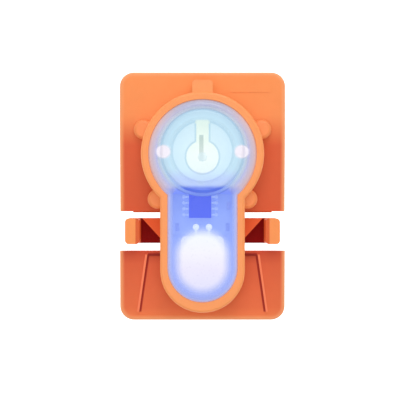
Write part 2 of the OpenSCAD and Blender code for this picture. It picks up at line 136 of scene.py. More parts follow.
class Graph:
    """The node graph of one material; its coordinates are in millimetres."""

    def __init__(self, name: str) -> None:
        """Starts a material that has a Principled shader and an output.

        Args:
            name: the material's name.
        """
        self.material = bpy.data.materials.new(name)
        self.material.use_nodes = True
        self.tree = self.material.node_tree
        self.tree.nodes.clear()
        self.shader = self.add("ShaderNodeBsdfPrincipled")
        self.add("ShaderNodeOutputMaterial", surface=self.shader.outputs["BSDF"])
        scale = self.add("ShaderNodeVectorMath")
        scale.operation = "SCALE"
        self.fill(scale, scale=1 / MM)
        self.feed(scale.inputs[0], self.add("ShaderNodeTexCoord").outputs["Object"])
        self.place = scale.outputs[0]
        self.axes = tuple(self.add("ShaderNodeSeparateXYZ", vector=self.place).outputs)

    def feed(self, socket: Socket, value: Value | Colour) -> None:
        """Gives an input its value.

        Args:
            socket: the input.
            value: another node's output to link, or a plain value.
        """
        if isinstance(value, Socket):
            self.tree.links.new(value, socket)
        else:
            socket.default_value = value

    def fill(self, node: bpy.types.Node, **values: Value | Colour) -> None:
        """Gives a node's inputs their values.

        Args:
            node: the node.
            values: each input by its name, with _ for a space.
        """
        for name, value in values.items():
            title = name.replace("_", " ").title().replace("Ior", "IOR")
            self.feed(node.inputs[title], value)

    def add(self, kind: str, **values: Value | Colour) -> bpy.types.Node:
        """Adds a node.

        Args:
            kind: the node's kind.
            values: its inputs by name, as for fill.

        Returns:
            The node.
        """
        node = self.tree.nodes.new(kind)
        self.fill(node, **values)
        return node

    def math(self, operation: str, *values: Value) -> Socket:
        """A Math node's result.

        Args:
            operation: the node's operation.
            values: its inputs.

        Returns:
            The result's socket.
        """
        node = self.add("ShaderNodeMath")
        node.operation = operation
        for socket, value in zip(node.inputs, values):
            self.feed(socket, value)
        return node.outputs[0]

    def product(self, first: Socket, *others: Value) -> Socket:
        """Several numbers multiplied.

        Args:
            first: the first number.
            others: the rest.

        Returns:
            Their product.
        """
        for other in others:
            first = self.math("MULTIPLY", first, other)
        return first

    def length(self, a: Socket, b: Socket) -> Socket:
        """The length of a line from its two square parts."""
        return self.math("SQRT", self.math("ADD", self.product(a, a), self.product(b, b)))

    def ease(self, value: Socket, low: float, high: float) -> Socket:
        """A smooth rise from 0 at low to 1 at high.

        Args:
            value: the number to map.
            low: the value that gives 0.
            high: the value that gives 1.

        Returns:
            The mapped number.
        """
        node = self.add("ShaderNodeMapRange", value=value, from_min=low, from_max=high)
        node.interpolation_type = "SMOOTHSTEP"
        return node.outputs["Result"]

    def between(self, value: Socket, rise: Span, fall: Span) -> Socket:
        """1 between a rise and a fall, each given as its start and end, and 0 outside them."""
        return self.product(self.ease(value, *rise), self.ease(value, fall[1], fall[0]))

    def near(self, value: Socket, at: float, full: float, gone: float) -> Socket:
        """1 up to a full distance from a place, falling to 0 at the distance gone."""
        return self.ease(self.math("ABSOLUTE", self.math("SUBTRACT", value, at)), gone, full)

    def noise(
        self, scale: float, detail: float = 2.0, stretch: tuple[float, ...] = (1, 1, 1),
    ) -> Socket:
        """Cloudy noise from 0 to 1.

        Args:
            scale: features per millimetre.
            detail: octaves.
            stretch: factor on the coordinates along each axis.

        Returns:
            The noise.
        """
        place = self.add("ShaderNodeMapping", vector=self.place, scale=stretch).outputs["Vector"]
        node = self.add("ShaderNodeTexNoise", vector=place, scale=scale, detail=detail)
        return node.outputs["Fac"]

    def blend(self, factor: Value, a: Colour, b: Colour, kind: str = "MIX") -> Socket:
        """Two colours mixed.

        Args:
            factor: 0 gives the first colour and 1 the second.
            a: first colour.
            b: second colour.
            kind: the Mix node's blend type.

        Returns:
            The mixed colour.
        """
        node = self.add("ShaderNodeMix")
        node.data_type = "RGBA"
        node.blend_type = kind
        self.feed(node.inputs["Factor"], factor)
        colours = [s for s in node.inputs if s.type == "RGBA"]
        self.feed(colours[0], a)
        self.feed(colours[1], b)
        return next(s for s in node.outputs if s.type == "RGBA")

    def tint(self, colour: Colour, red: float, green: float, blue: float) -> Socket:
        """A colour with each part of its light scaled."""
        return self.blend(1.0, colour, (red, green, blue, 1.0), "MULTIPLY")

    def run(self, value: Socket, stops: Stops) -> Socket:
        """A colour that changes with a value.

        Args:
            value: the number that picks the colour.
            stops: each value and its tone, in rising order.

        Returns:
            The colour.
        """
        low, high = stops[0][0], stops[-1][0]
        spread = self.add("ShaderNodeMapRange", value=value, from_min=low, from_max=high)
        ramp = self.add("ShaderNodeValToRGB", fac=spread.outputs["Result"])
        elements = ramp.color_ramp.elements
        while len(elements) < len(stops):
            elements.new(0.5)
        for element, (at, _) in zip(elements, stops):
            element.position = (at - low) / (high - low)
        for element, (_, tone) in zip(elements, stops):
            element.color = linear(tone)
        return ramp.outputs["Color"]

    def inset(self, outline: Keyhole) -> Socket:
        """How far inside a keyhole outline the surface lies.

        Args:
            outline: the outline.

        Returns:
            The distance from the outline inwards, in millimetres.
        """
        x, y, _ = self.axes
        up = self.math("SUBTRACT", y, outline.head_y)
        in_head = self.math("SUBTRACT", outline.head_r, self.length(x, up))
        past = self.math("MAXIMUM", self.math("SUBTRACT", outline.tail_y, y), 0.0)
        in_tail = self.math("SUBTRACT", outline.tail_r, self.length(x, past))
        in_tail = self.math("SUBTRACT", in_tail, self.math("MAXIMUM", up, 0.0))
        return self.math("MAXIMUM", in_head, in_tail)

    def mottle(self, colour: Colour, scale: float, depth: float) -> Socket:
        """A colour with faint clouds in it.

        Args:
            colour: the colour.
            scale: clouds per millimetre.
            depth: how dark the clouds are, from 0 to 1.

        Returns:
            The clouded colour.
        """
        dark = (1 - depth, 1 - depth, 1 - depth, 1.0)
        cloud = self.blend(self.noise(scale, detail=4.0), dark, (1.0, 1.0, 1.0, 1.0))
        return self.blend(1.0, colour, cloud, "MULTIPLY")

    def lit(self, colour: Socket, body: float, glow: float, **more: Value) -> None:
        """Makes the surface glow in its own colour: the lamp's light on the lamp itself, and
        painted lamp light on every other part.

        Args:
            colour: the surface tone.
            body: how much of it answers the light outside.
            glow: how strongly the glow shines.
            more: further inputs of the shader.
        """
        base = self.tint(colour, body, body, body)
        self.fill(
            self.shader, base_color=base, emission_color=colour, emission_strength=glow, **more)

    def skin(
        self, rough: Span, patches: float, height: Socket, depth: float, strength: float,
    ) -> bpy.types.Material:
        """Gives the surface its roughness and grain, which completes the material.

        Args:
            rough: lowest and highest roughness.
            patches: rougher and smoother patches per millimetre.
            height: the grain's height map, from 0 to 1.
            depth: the grain's depth in millimetres.
            strength: how strongly the grain shows.

        Returns:
            The material.
        """
        low, high = rough
        wander = self.add(
            "ShaderNodeMapRange", value=self.noise(patches), to_min=low, to_max=high)
        bump = self.add(
            "ShaderNodeBump", strength=strength, distance=depth * MM, height=height)
        self.fill(
            self.shader, roughness=wander.outputs["Result"], normal=bump.outputs["Normal"])
        return self.material


@dataclass(frozen=True)
class Finish:
    """A named finish; each kind builds its own material."""

    name: str

    def make(self) -> bpy.types.Material:
        """Builds the material."""
        raise NotImplementedError(self.name)


@dataclass(frozen=True)
class MouldedNylon(Finish):
    """Moulded nylon with a fine matt grain and a painted fill glow that lifts its shade, whose
    tone changes along an axis.
    """

    along: Along
    stops: Stops
    gain: float = 0.6
    # share of each colour part given off as painted fill light
    fill: tuple[float, float, float] = (0.3, 0.276, 0.18)
    rough: Span = (0.42, 0.58)
    sheen: float = 0.22

    def tone(self, graph: Graph) -> Socket:
        """The surface tone along the axis."""
        return graph.run(graph.axes[self.along.value], self.stops)

    def glow(self, graph: Graph, colour: Socket) -> Socket:
        """The painted fill light: a glow in the nylon's own tone that lifts its shade."""
        return graph.tint(colour, *self.fill)

    def make(self) -> bpy.types.Material:
        """Builds the material.

        Returns:
            The material.
        """
        graph = Graph(self.name)
        colour = graph.mottle(self.tone(graph), scale=0.45, depth=0.07)
        graph.fill(
            graph.shader,
            base_color=graph.tint(colour, self.gain, self.gain, self.gain),
            emission_color=self.glow(graph, colour),
            emission_strength=1.0,
            specular_ior_level=self.sheen,
            subsurface_weight=0.08,
            subsurface_scale=0.4 * MM,
        )
        grain = graph.noise(scale=7.0, detail=3.0)
        return graph.skin(self.rough, patches=1.5, height=grain, depth=0.02, strength=0.3)


@dataclass(frozen=True)
class PlateNylon(MouldedNylon):
    """The shell's nylon, with a painted highlight round the rim and along the ramp's beads,
    painted shadow beside the beads, and the lamp's painted blue light in the pocket.
    """

    half_w: float = 17.8
    half_h: float = 26.7
    corner_r: float = 3.0
    front_z: Span = (6.6, 7.4)
    # painted highlight along the rounded front edge of the plate
    rim: Tone = (252, 168, 120)
    rim_w: float = 1.2
    # painted highlight along the top of each bead
    bead_highlight: Tone = (255, 134, 96)
    bead_top: Span = (12.12, -12.5)
    bead_low: Span = (13.92, -24.9)
    bead_end: float = 0.2
    bead_w: Span = (0.17, 0.27)
    # painted shadow on the inner side of each bead and along the step at the ramp's top
    crease_shadow: Tone = (168, 40, 20)
    crease_shadow_x: float = -0.45
    crease_shadow_w: Span = (0.14, 0.34)
    step_shadow_x: Span = (-0.2, -0.5)
    step_shadow_w: Span = (0.2, 0.5)
    # the lamp's blue light, painted on the plate inside the pocket
    painted_lamp_light: Tone = (128, 156, 254)
    painted_lamp_light_in: Span = (0.0, 0.12)
    painted_lamp_light_z: Span = (7.3, 7.4)
    painted_lamp_light_gain: float = 0.5

    def inset(self, graph: Graph) -> Socket:
        """How far inside the plate's outline the surface lies.

        Args:
            graph: the material's graph.

        Returns:
            The distance in millimetres.
        """
        past_x, past_y = (
            graph.math("SUBTRACT", graph.math("ABSOLUTE", axis), half - self.corner_r)
            for axis, half in zip(graph.axes, (self.half_w, self.half_h))
        )
        out = graph.length(*(graph.math("MAXIMUM", past, 0.0) for past in (past_x, past_y)))
        within = graph.math("MINIMUM", graph.math("MAXIMUM", past_x, past_y), 0.0)
        return graph.math("SUBTRACT", self.corner_r, graph.math("ADD", out, within))

    def tone(self, graph: Graph) -> Socket:
        """The surface tone, with the painted rim highlight, the painted bead highlights, the
        painted shadows beside them and the lamp's painted blue light in the pocket.

        Args:
            graph: the material's graph.

        Returns:
            The colour.
        """
        x, y, z = graph.axes
        front = graph.ease(z, *self.front_z)
        # painted highlight round the front of the plate's rim
        rim = graph.product(graph.ease(self.inset(graph), self.rim_w, 0.0), front)
        colour = graph.blend(rim, super().tone(graph), linear(self.rim))
        (top_x, top_y), (low_x, low_y) = self.bead_top, self.bead_low
        slope = (low_x - top_x) / (top_y - low_y)
        line = graph.math("MULTIPLY_ADD", graph.math("SUBTRACT", top_y, y), slope, top_x)
        off = graph.math("SUBTRACT", graph.math("ABSOLUTE", x), line)
        end = self.bead_end
        run = graph.between(y, (low_y - end, low_y + end), (top_y - end, top_y + end))
        run = graph.product(run, front)
        # painted shadow beside the bead and at the ramp's top step
        side = graph.product(graph.near(off, self.crease_shadow_x, *self.crease_shadow_w), run)
        step = graph.product(
            graph.ease(off, *self.step_shadow_x), graph.near(y, top_y, *self.step_shadow_w), front)
        colour = graph.blend(graph.math("MAXIMUM", side, step), colour, linear(self.crease_shadow))
        # painted highlight on the bead's top
        top = graph.product(graph.near(off, 0.0, *self.bead_w), run)
        colour = graph.blend(top, colour, linear(self.bead_highlight))
        # the lamp's painted blue light in the pocket
        return graph.blend(self.inside(graph), colour, linear(self.painted_lamp_light))

    def inside(self, graph: Graph) -> Socket:
        """1 where the surface lies in the lamp's pocket, and 0 elsewhere."""
        within = graph.ease(graph.inset(LENS_OUTLINE), *self.painted_lamp_light_in)
        return graph.product(within, graph.ease(graph.axes[2], *self.painted_lamp_light_z))

    def glow(self, graph: Graph, colour: Socket) -> Socket:
        """The nylon's painted fill glow, and the lamp's painted blue light inside the pocket."""
        light = linear(self.painted_lamp_light, self.painted_lamp_light_gain)
        return graph.blend(self.inside(graph), super().glow(graph, colour), light)


@dataclass(frozen=True)
class ArmNylon(MouldedNylon):
    """The clip arm's nylon, with painted shade on the posts' inner shoulders and deep red painted
    shade in the pockets under the lamp.
    """

    # painted shade on the inner faces of the end posts
    shoulder: Tone = (226, 104, 62)
    shoulder_x: Span = (14.5, 14.2)
    shoulder_z: Span = (6.0, 7.0)
    # deep red painted shade in the pockets under the lamp
    pocket: Tone = (138, 3, 0)
    pocket_x: Band = ((8.4, 9.0), (13.4, 13.7))
    pocket_y: Band = ((-10.7, -10.4), (-4.2, -3.9))
    pocket_z: Band = ((1.2, 1.7), (2.3, 4.7))

    def tone(self, graph: Graph) -> Socket:
        """The surface tone, with the painted shade in the pockets and on the shoulders.

        Args:
            graph: the material's graph.

        Returns:
            The colour.
        """
        x, y, z = graph.axes
        side = graph.math("ABSOLUTE", x)
        deep = graph.product(
            graph.between(side, *self.pocket_x), graph.between(y, *self.pocket_y),
            graph.between(z, *self.pocket_z),
        )
        # painted shade in the pockets
        colour = graph.blend(deep, super().tone(graph), linear(self.pocket))
        # painted shade on the posts' inner shoulders
        inner = graph.product(
            graph.ease(side, *self.shoulder_x), graph.ease(z, *self.shoulder_z))
        return graph.blend(inner, colour, linear(self.shoulder))


@dataclass(frozen=True)
class LitPlastic(Finish):
    """Plastic inside the lamp, glowing with the lamp's light, which is painted on every part but
    the lamp itself; its tone changes along Y.
    """

    stops: Stops
    # strength of the glow: painted lamp light on every part but the lamp
    glow: float = 0.55
    body: float = 0.42
    rough: Span = (0.34, 0.48)
    sheen: float = 0.25
    cloud: float = 0.05
    cloud_scale: float = 1.2
    # painted shadow seen through the switch leaf's slot
    slot_shadow: Stops = ()
    slot_shadow_x: Span = (-1.2, 0.6)
    slot_shadow_soft: float = 0.1

    def make(self) -> bpy.types.Material:
        """Builds the material.

        Returns:
            The material.
        """
        graph = Graph(self.name)
        x, y, _ = graph.axes
        colour = graph.run(y, self.stops)
        # painted shadow in the leaf's slot
        if self.slot_shadow:
            low, high = self.slot_shadow_x
            half = (high - low) / 2
            within = graph.near(x, low + half, half - self.slot_shadow_soft, half)
            colour = graph.blend(within, colour, graph.run(y, self.slot_shadow))
        colour = graph.mottle(colour, self.cloud_scale, self.cloud)
        graph.lit(colour, self.body, self.glow, specular_ior_level=self.sheen)
        grain = graph.noise(scale=9.0)
        return graph.skin(self.rough, patches=2.0, height=grain, depth=0.01, strength=0.2)


@dataclass(frozen=True)
class Metal(Finish):
    """Bright metal with fine brush marks; it may glow with painted lamp light."""

    tone: Tone
    rough: Span = (0.22, 0.42)
    brush: tuple[float, float, float] = (1.0, 12.0, 12.0)
    glow: float = 0.0
    metallic: float = 1.0

    def make(self) -> bpy.types.Material:
        """Builds the material.

        Returns:
            The material.
        """
        graph = Graph(self.name)
        colour = graph.mottle(linear(self.tone), scale=0.8, depth=0.12)
        graph.fill(graph.shader, base_color=colour, metallic=self.metallic)
        # painted lamp light, as a glow in the metal's own tone
        if self.glow:
            graph.fill(graph.shader, emission_color=colour, emission_strength=self.glow)
        marks = graph.noise(scale=1.6, detail=5.0, stretch=self.brush)
        return graph.skin(self.rough, patches=1.2, height=marks, depth=0.01, strength=0.25)


@dataclass(frozen=True)
class Rubber(Finish):
    """Soft matt silicone."""

    tone: Tone
    rough: Span = (0.6, 0.8)

    def make(self) -> bpy.types.Material:
        """Builds the material.

        Returns:
            The material.
        """
        graph = Graph(self.name)
        colour = graph.mottle(linear(self.tone), scale=1.5, depth=0.15)
        graph.fill(graph.shader, base_color=colour, sheen_weight=0.2)
        grain = graph.noise(scale=6.0)
        return graph.skin(self.rough, patches=2.0, height=grain, depth=0.02, strength=0.3)


@dataclass(frozen=True)
class TabHighlight:
    """Painted highlights: the pale ovals where the cell's tabs shine through frosted plastic."""

    x: float = 8.35
    y: float = 9.5
    half_w: float = 1.75
    half_h: float = 1.6
    tone: Tone = (244, 238, 249)
    soft: Span = (1.1, 0.45)

    def mask(self, graph: Graph) -> Socket:
        """Where the ovals show.

        Args:
            graph: the material's graph.

        Returns:
            1 in the middle of each oval, falling to 0 at its edge.
        """
        x, y, _ = graph.axes
        across = graph.math("SUBTRACT", graph.math("ABSOLUTE", x), self.x)
        across = graph.math("DIVIDE", across, self.half_w)
        up = graph.math("DIVIDE", graph.math("SUBTRACT", y, self.y), self.half_h)
        square = graph.math("MULTIPLY_ADD", across, across, graph.product(up, up))
        return graph.ease(square, *self.soft)


@dataclass(frozen=True)
class Frosted(Finish):
    """What the frosted lens and the frosted button have in common."""

    tabs: TabHighlight = TabHighlight()
    tab_veil: float = 0.7
    veil: float = 0.14
    # strength of the painted lamp light that the frosted plastic glows with
    glow: float = 0.52
    body: float = 0.42
    rough: Span = (0.22, 0.36)
    cloud_scale: float = 0.5

    def close(
        self, graph: Graph, colour: Socket, cover: Socket, **more: float,
    ) -> bpy.types.Material:
        """Adds the tabs' painted highlight ovals, the veil and the grain, which completes the
        material.

        Args:
            graph: the material's graph.
            colour: the surface tone.
            cover: how much it hides what lies under it, besides the veil and the tabs.
            more: further inputs of the shader.

        Returns:
            The material.
        """
        # painted highlights of the cell's tabs
        tab = self.tabs.mask(graph)
        colour = graph.blend(tab, colour, linear(self.tabs.tone))
        colour = graph.mottle(colour, self.cloud_scale, depth=0.05)
        cover = graph.math("MAXIMUM", cover, graph.product(tab, self.tab_veil))
        alpha = graph.math("MINIMUM", graph.math("ADD", cover, self.veil), 1.0)
        graph.lit(colour, self.body, self.glow, alpha=alpha, **more)
        grain = graph.noise(scale=6.0)
        return graph.skin(self.rough, patches=1.5, height=grain, depth=0.008, strength=0.15)


@dataclass(frozen=True)
class FrostedLens(Frosted):
    """Frosted lens: clear over the head and blue over the tail from painted lamp light, with a
    soft rim that carries a painted reflection of the orange bezel, and the lamp's painted halo.
    """

    outline: Keyhole = LENS_OUTLINE
    lamp_y: Span = (-19.6, -9.2)
    lamp_r: float = 4.7
    lamp_round: float = 0.75
    neck_y: Span = (0.4, 2.6)
    # pinkish at the outline: painted reflection of the orange bezel
    head_stops: Stops = (
        (0.0, (232, 196, 194)), (0.9, (220, 202, 208)), (2.0, (202, 208, 226)),
        (3.1, (198, 228, 246)), (5.0, (204, 233, 251)),
    )
    # painted blue lamp light over the tail
    tail_stops: Stops = (
        (0.0, (204, 206, 250)), (0.7, (180, 194, 251)), (1.8, (156, 180, 251)),
        (5.0, (150, 176, 251)),
    )
    crown: Tone = (176, 186, 212)
    crown_y: Span = (15.5, 20.0)
    crown_mix: float = 0.7
    halo_stops: Stops = (
        (-20.0, (226, 226, 253)), (-15.5, (236, 232, 252)), (-12.0, (244, 243, 252)),
        (-8.0, (243, 249, 255)),
    )
    halo_past: Span = (2.3, -0.8)
    tail_rim_w: float = 1.2
    head_rim_more: float = 1.9
    rim_veil: float = 0.75
    halo_veil: float = 0.68

    def lamp(self, graph: Graph) -> Socket:
        """The lamp's halo on the lens.

        Args:
            graph: the material's graph.

        Returns:
            1 over the lamp, falling to 0 around it.
        """
        x, y, _ = graph.axes
        low, high = self.lamp_y
        below = graph.math("SUBTRACT", low + self.lamp_r, y)
        above = graph.math("SUBTRACT", y, high - self.lamp_r * self.lamp_round)
        out = graph.math("MAXIMUM", graph.math("MAXIMUM", below, above), 0.0)
        gone, full = (self.lamp_r + past for past in self.halo_past)
        return graph.ease(graph.length(x, out), gone, full)

    def make(self) -> bpy.types.Material:
        """Builds the material.

        Returns:
            The material.
        """
        graph = Graph(self.name)
        y = graph.axes[1]
        edge = graph.inset(self.outline)
        in_head = graph.ease(y, *self.neck_y)
        colour = graph.blend(
            in_head, graph.run(edge, self.tail_stops), graph.run(edge, self.head_stops))
        crown = graph.product(graph.ease(y, *self.crown_y), self.crown_mix)
        colour = graph.blend(crown, colour, linear(self.crown))
        halo = self.lamp(graph)
        colour = graph.blend(halo, colour, graph.run(y, self.halo_stops))
        rim_w = graph.math("MULTIPLY_ADD", in_head, self.head_rim_more, self.tail_rim_w)
        rim = graph.math("SUBTRACT", 1.0, graph.math("DIVIDE", edge, rim_w))
        rim = graph.product(graph.math("MAXIMUM", rim, 0.0), self.rim_veil)
        cover = graph.math("MAXIMUM", rim, graph.product(halo, self.halo_veil))
        return self.close(graph, colour, cover, coat_weight=0.15, coat_roughness=0.12)


@dataclass(frozen=True)
class FrostedCap(Frosted):
    """Frosted push button: paler towards its middle, with the lamp's painted blue light and a
    painted shadow towards its lower edge, and a fine grain.
    """

    centre_y: float = 9.65
    radius: float = 8.75
    stops: Stops = (
        (0.0, (228, 247, 254)), (6.0, (212, 241, 253)), (7.4, (198, 232, 249)),
        (8.6, (190, 222, 241)), (9.6, (188, 214, 238)),
    )
    # painted blue lamp light over the lower part of the button
    painted_lamp_tint: Tone = (186, 204, 254)
    painted_lamp_tint_y: Span = (6.0, 3.4)
    painted_lamp_tint_mix: float = 0.75
    shadow: Tone = (96, 128, 242)
    shadow_y: Span = (2.6, 1.6)
    rim_in: Span = (2.6, 1.2)
    rim_veil: float = 0.42

    def make(self) -> bpy.types.Material:
        """Builds the material.

        Returns:
            The material.
        """
        graph = Graph(self.name)
        x, y, _ = graph.axes
        out = graph.length(x, graph.math("SUBTRACT", y, self.centre_y))
        # the lamp's painted blue light towards the lower edge
        painted_lamp_tint = graph.product(graph.ease(y, *self.painted_lamp_tint_y), self.painted_lamp_tint_mix)
        colour = graph.blend(painted_lamp_tint, graph.run(out, self.stops), linear(self.painted_lamp_tint))
        colour = graph.blend(graph.ease(y, *self.shadow_y), colour, linear(self.shadow))
        clear_r, full_r = (self.radius - inside for inside in self.rim_in)
        rim = graph.product(graph.ease(out, clear_r, full_r), self.rim_veil)
        return self.close(graph, colour, rim)


# ---- mesh work ----


def metres(*values: float) -> Vector:
    """A point given in millimetres."""
    return Vector(values) * MM


def corner(edge: Edge, degrees: float = 35.0) -> bool:
    """Whether two faces meet at an edge more sharply than an angle."""
    return len(edge.link_faces) == 2 and edge.calc_face_angle(0.0) > math.radians(degrees)


def middle(edge: Edge) -> Vector:
    """The middle of an edge, in millimetres."""
    return (edge.verts[0].co + edge.verts[1].co) / 2 / MM


def rise(edge: Edge) -> float:
    """How far an edge climbs along Z, in metres."""
    return abs(edge.verts[0].co.z - edge.verts[1].co.z)


def crisp(low: float = -math.inf, high: float = math.inf) -> Picker:
    """A picker of the sharp edges whose middles lie between two heights."""
    return lambda edge: corner(edge, SHARP) and low < middle(edge).z < high


def only(geometry: Iterable, kind: type) -> list:
    """The vertices, edges or faces among some geometry."""
    return [item for item in geometry if isinstance(item, kind)]


def cad_mesh(node: str) -> Mesh:
    """A merged copy of a CAD node's mesh.

    Args:
        node: the CAD node.

    Returns:
        The copy, with its flat areas joined into single faces.
    """
    mesh = bmesh.new()
    mesh.from_mesh(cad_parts[node].data)
    bmesh.ops.remove_doubles(mesh, verts=mesh.verts, dist=MERGE)
    bmesh.ops.dissolve_limit(
        mesh, angle_limit=FLAT, use_dissolve_boundaries=False,
        verts=mesh.verts, edges=mesh.edges,
    )
    return mesh


def soften(mesh: Mesh, pick: Picker, width: float, segments: int = 3) -> None:
    """Rounds picked edges.

    Args:
        mesh: the mesh to change.
        pick: says which edges.
        width: bevel width in millimetres.
        segments: steps round the edge.
    """
    edges = [edge for edge in mesh.edges if pick(edge)]
    if edges:
        bmesh.ops.bevel(
            mesh, geom=edges, offset=width * MM, offset_type="OFFSET", segments=segments,
            profile=0.5, affect="EDGES", clamp_overlap=True, material=-1,
        )


def lathe(mesh: Mesh, outline: Outline, centre: Vector, steps: int = 96) -> None:
    """Turns an open outline into a closed solid about Z.

    Args:
        mesh: the mesh to add to.
        outline: radius and height of each point in millimetres; both ends lie on the axis.
        centre: the axis's place, in metres.
        steps: sides.
    """
    points = [mesh.verts.new(centre + metres(r, 0, z)) for r, z in outline]
    edges = [mesh.edges.new(pair) for pair in zip(points, points[1:])]
    bmesh.ops.spin(
        mesh, geom=points + edges, cent=centre, axis=(0, 0, 1), dvec=(0, 0, 0),
        angle=math.tau, steps=steps, use_merge=True, use_duplicate=False,
    )
    bmesh.ops.remove_doubles(mesh, verts=mesh.verts, dist=MERGE)


def arc(centre: Span, radius: float, start: float, end: float, steps: int) -> list[Span]:
    """Points round an arc in a profile, from a start angle to an end angle in degrees."""
    angles = [math.radians(start + (end - start) * i / steps) for i in range(steps + 1)]
    return [(centre[0] + radius * math.cos(a), centre[1] + radius * math.sin(a)) for a in angles]


def solid(mesh: Mesh, name: str, recalculate: bool = True, sharp: float = 32.0) -> Piece:
    """Turns a mesh into an object.

    Args:
        mesh: the mesh, which is freed.
        name: the piece's name.
        recalculate: whether to turn every face outwards again.
        sharp: edges sharper than this many degrees stay crisp.

    Returns:
        The object, at the origin.
    """
    bmesh.ops.remove_doubles(mesh, verts=mesh.verts, dist=WELD)
    bmesh.ops.dissolve_degenerate(mesh, edges=mesh.edges, dist=WELD)
    if recalculate:
        bmesh.ops.recalc_face_normals(mesh, faces=mesh.faces)
    data = bpy.data.meshes.new(name)
    mesh.to_mesh(data)
    mesh.free()
    data.shade_smooth()
    data.set_sharp_from_angle(angle=math.radians(sharp))
    piece = bpy.data.objects.new(name, data)
    bpy.context.scene.collection.objects.link(piece)
    shading = piece.modifiers.new("even shading", "WEIGHTED_NORMAL")
    shading.keep_sharp = True
    return piece


def settle(piece: Piece, finish: Finish, slot: str, body: Body, *nodes: str) -> Piece:
    """Dresses a piece and fixes it to its body.

    Args:
        piece: the piece.
        finish: its finish, which is built once and shared.
        slot: not used.
        body: the body that it moves with.
        nodes: the CAD nodes that it stands for.

    Returns:
        The piece.
    """
    piece.data.materials.clear()
    piece.data.materials.append(bpy.data.materials.get(finish.name) or finish.make())
    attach(piece, body.value)
    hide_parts(*nodes)
    LOG.info("%s: %d faces, for %s", piece.name, len(piece.data.polygons), ", ".join(nodes))
    return piece


def rounded_copy(
    node: str, name: str, finish: Finish, slot: str, body: Body, *roundings: Rounding,
) -> Piece:
    """A CAD node's shape with its moulded edges rounded.

    Args:
        node: the CAD node.
        name: the new piece's name.
        finish: its finish.
        slot: the record's material slot.
        body: the body that it moves with.
        roundings: which edges, how wide and in how many steps, one pass after another.

    Returns:
        The piece.
    """
    mesh = cad_mesh(node)
    for pick, width, segments in roundings:
        soften(mesh, pick, width, segments)
    return settle(solid(mesh, name, recalculate=False), finish, slot, body, node)


# ---- casing ----


@dataclass
class Casing:
    """The split plate with its ring wall, the bezel on it, and the bezel's screws."""

    half_w: float = field(init=False)
    half_h: float = field(init=False)
    corner_r: float = 3.0
    corner_slack: float = 0.05
    tail_r: float = 9.0
    gap_y: Span = (-3.2, -11.7)
    front_z: float = 7.2
    level_slope: float = 0.7
    rim_round: float = 0.55
    gap_round: float = 0.25
    bezel_z: float = 13.9
    bezel_round: float = 0.12
    screw_z: float = 6.5
    screw_round: float = 0.06
    # painted light along Y: brighter over the top of the upper plate, a painted shadow just below
    # the gap, and lighter towards the bottom edge
    shell: PlateNylon = PlateNylon(
        "shell nylon", Along.Y,
        (
            (-26.5, (248, 132, 78)), (-24.0, (236, 112, 67)), (-14.5, (226, 98, 60)),
            (-11.8, (206, 74, 44)), (-11.0, (222, 94, 56)), (11.0, (224, 96, 56)),
            (17.5, (252, 148, 88)), (26.5, (255, 152, 88)),
        ),
    )
    # painted light by height: darker low on the wall, brighter on the raised top
    bezel: MouldedNylon = MouldedNylon(
        "bezel nylon", Along.Z,
        (
            (6.0, (222, 100, 62)), (10.0, (240, 124, 78)), (12.0, (255, 156, 98)),
            (15.5, (255, 163, 102)),
        ),
        rough=(0.34, 0.48),
    )
    plating: Metal = Metal("plated screw", (196, 196, 202), (0.20, 0.40))

    def __post_init__(self) -> None:
        """Takes the plate's half width and half height from the frame."""
        _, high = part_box("hub_plate")
        self.half_w, self.half_h = high.x / MM, high.y / MM

    def rim_edge(self, edge: Edge) -> bool:
        """Whether an edge runs round the front of the plate's outline.

        Args:
            edge: the edge.

        Returns:
            Whether it does.
        """
        at = middle(edge)
        side = abs(at.x) > self.half_w - TOUCH or abs(at.y) > self.half_h - TOUCH
        inner_w, inner_h = self.half_w - self.corner_r, self.half_h - self.corner_r
        out = Vector((abs(at.x) - inner_w, abs(at.y) - inner_h))
        turn = min(out) > 0 and out.length > self.corner_r - self.corner_slack
        level = rise(edge) < self.level_slope * edge.calc_length()
        return corner(edge) and (side or turn) and level and at.z > self.front_z

    def gap_edge(self, edge: Edge) -> bool:
        """Whether an edge runs along the front of a gap between the plates.

        Args:
            edge: the edge.

        Returns:
            Whether it does.
        """
        at = middle(edge)
        near = any(abs(at.y - y) < TOUCH for y in self.gap_y)
        return corner(edge) and near and abs(at.x) > self.tail_r and at.z > self.front_z

    def build(self) -> None:
        """Builds and dresses the casing."""
        rounded_copy(
            "hub_plate", "split_plate", self.shell, "shell_orange", Body.HUB,
            (self.rim_edge, self.rim_round, 4), (self.gap_edge, self.gap_round, 3),
        )
        rounded_copy(
            "bezel_frame", "bezel_ring", self.bezel, "bezel_orange", Body.HUB,
            (crisp(low=self.bezel_z), self.bezel_round, 3),
        )
        rounded_copy(
            "bezel_screws", "bezel_screw_set", self.plating, "screw_steel", Body.HUB,
            (crisp(high=self.screw_z), self.screw_round, 2),
        )


# ---- lens ----


@dataclass
class Lens:
    """The keyhole lens and its seal."""

    rim_z: float = 13.9
    rim_round: float = 0.15
    seal_round: float = 0.1
    frost: FrostedLens = FrostedLens("frosted lens")
    silicone: Rubber = Rubber("lens silicone", (206, 196, 208))

    def build(self) -> None:
        """Builds and dresses the lens."""
        rounded_copy(
            "lens_cover", "lens_dome", self.frost, "lens_frost", Body.HUB,
            (crisp(low=self.rim_z), self.rim_round, 3),
        )
        rounded_copy(
            "lens_seal", "lens_gasket", self.silicone, "seal_rubber", Body.HUB,
            (crisp(), self.seal_round, 2),
        )


# ---- push button ----


